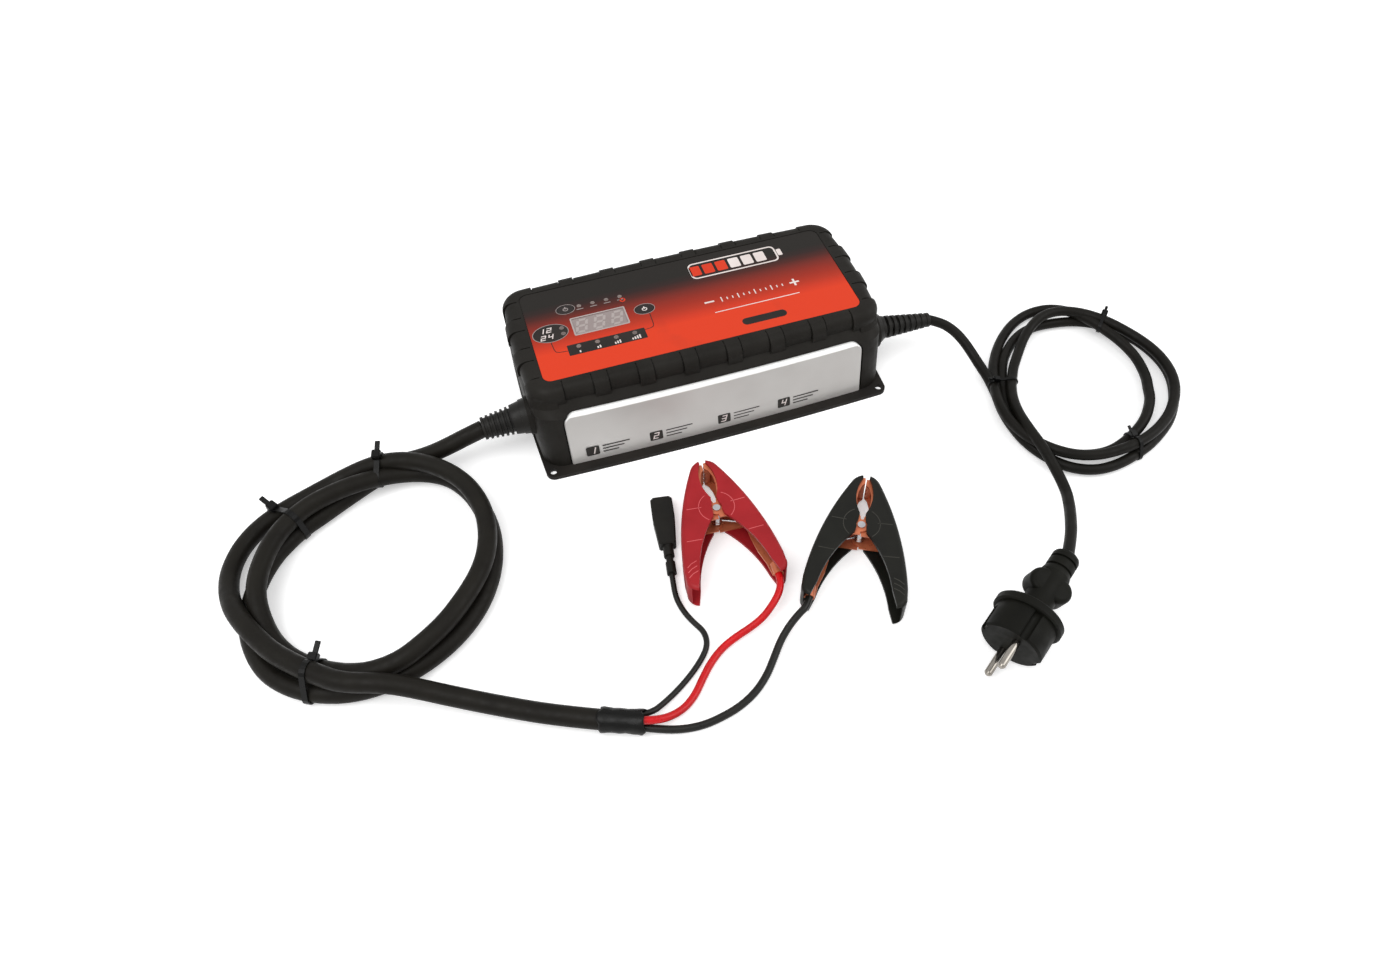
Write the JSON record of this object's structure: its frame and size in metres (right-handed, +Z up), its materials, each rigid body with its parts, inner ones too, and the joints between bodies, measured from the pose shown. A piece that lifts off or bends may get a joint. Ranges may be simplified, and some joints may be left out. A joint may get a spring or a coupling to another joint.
{
  "type": "car battery charger",
  "caption": "Car battery charger: long sealed case with bumper lid, display and keys, coiled output lead with spring clamps and a sensor, and a coiled mains lead with an earthed plug.",
  "frame": {"origin": "centre of the underside of the case's base plate", "axes": "+X along the case, to the right seen from the side with the label plate; +Y from that side to the back; +Z up"},
  "size_m": [0.6679, 0.3835, 0.062],
  "materials": {
    "case_plastic": "fine grained, satin",
    "base_plastic": "satin",
    "label_metal": "satin silver",
    "overlay_film": "semi-gloss printed film",
    "window": "clear, glossy",
    "display": "smooth",
    "led": "diffuse lens",
    "key": "satin",
    "switch": "satin",
    "circuit_board": "semi-gloss",
    "steel": "zinc plated",
    "ribbon": "satin",
    "core": "ferrite, matte",
    "winding": "taped copper",
    "capacitor": "sleeved can",
    "heatsink": "extruded",
    "transistor": "moulded",
    "fuse": "clear tube with metal caps",
    "gland_rubber": "satin",
    "nut_plastic": "satin",
    "output_cable": "satin sheath",
    "mains_cable": "satin sheath",
    "sleeve": "shrunk tube",
    "red_wire": "semi-gloss",
    "black_wire": "semi-gloss",
    "sensor": "satin",
    "tie_nylon": "satin",
    "red_grip": "satin",
    "black_grip": "satin",
    "copper": "copper plated",
    "plug_rubber": "satin",
    "plug_metal": "nickel plated"
  },
  "bodies": {
    "root": {"base_plate": "base_plastic", "upper_housing": "case_plastic", "front_label_plate": "label_metal", "top_overlay": "overlay_film", "display_window": "window", "digit_display": "display", "bar_leds": "led", "upper_leds": "led", "voltage_leds": "led", "tact_switches": "switch", "control_board": "circuit_board", "control_board_screws": "steel", "control_ribbon": "ribbon", "main_board": "circuit_board", "main_board_screws": "steel", "transformer_core": "core", "transformer_winding": "winding", "input_capacitor": "capacitor", "output_capacitors": "capacitor", "heatsink": "heatsink", "power_transistors": "transistor", "fuse": "fuse", "case_screws": "steel", "output_gland": "gland_rubber", "mains_strain_relief": "gland_rubber", "gland_nuts": "nut_plastic", "inner_leads": "black_wire", "output_lead_inlet": "output_cable", "output_coil": "output_cable", "output_lead_outlet": "output_cable", "breakout_sleeve": "sleeve", "sensor_lead": "black_wire", "red_lead": "red_wire", "black_lead": "black_wire", "sensor_probe": "sensor", "sensor_ferrule": "sensor", "mains_lead_inlet": "mains_cable", "mains_coil": "mains_cable", "mains_lead_outlet": "mains_cable", "plug_body": "plug_rubber", "plug_pins": "plug_metal", "plug_earth_contacts": "plug_metal", "output_cable_ties": "tie_nylon", "mains_cable_ties": "tie_nylon", "red_clamp_fixed_cover": "red_grip", "red_clamp_fixed_jaw": "copper", "red_clamp_pivot_pin": "steel", "red_clamp_spring": "steel", "black_clamp_fixed_cover": "black_grip", "black_clamp_fixed_jaw": "copper", "black_clamp_pivot_pin": "steel", "black_clamp_spring": "steel"},
    "mode_key": {"mode_button": "key"},
    "display_key": {"display_button": "key"},
    "red_clamp_half": {"red_clamp_moving_cover": "red_grip", "red_clamp_moving_jaw": "copper"},
    "black_clamp_half": {"black_clamp_moving_cover": "black_grip", "black_clamp_moving_jaw": "copper"}
  },
  "joints": [
    {"name": "mode_key_press", "type": "slide", "parent": "root", "child": "mode_key", "axis": [0, 0, -1], "range_m": [0, 0.0005], "stiffness_N_per_m": 1500, "springref_m": -0.0003},
    {"name": "display_key_press", "type": "slide", "parent": "root", "child": "display_key", "axis": [0, 0, -1], "range_m": [0, 0.0005], "stiffness_N_per_m": 1500, "springref_m": -0.0003},
    {"name": "red_clamp_open", "type": "hinge", "parent": "root", "child": "red_clamp_half", "pos_m": [-0.0286, -0.1466, 0.011], "axis": [0, 0, 1], "range_deg": [0, 26], "stiffness_Nm_per_rad": 1.5, "springref_deg": -14.32},
    {"name": "black_clamp_open", "type": "hinge", "parent": "root", "child": "black_clamp_half", "pos_m": [0.0526, -0.1884, 0.011], "axis": [0, 0, -1], "range_deg": [0, 26], "stiffness_Nm_per_rad": 1.5, "springref_deg": -14.32}
  ]
}
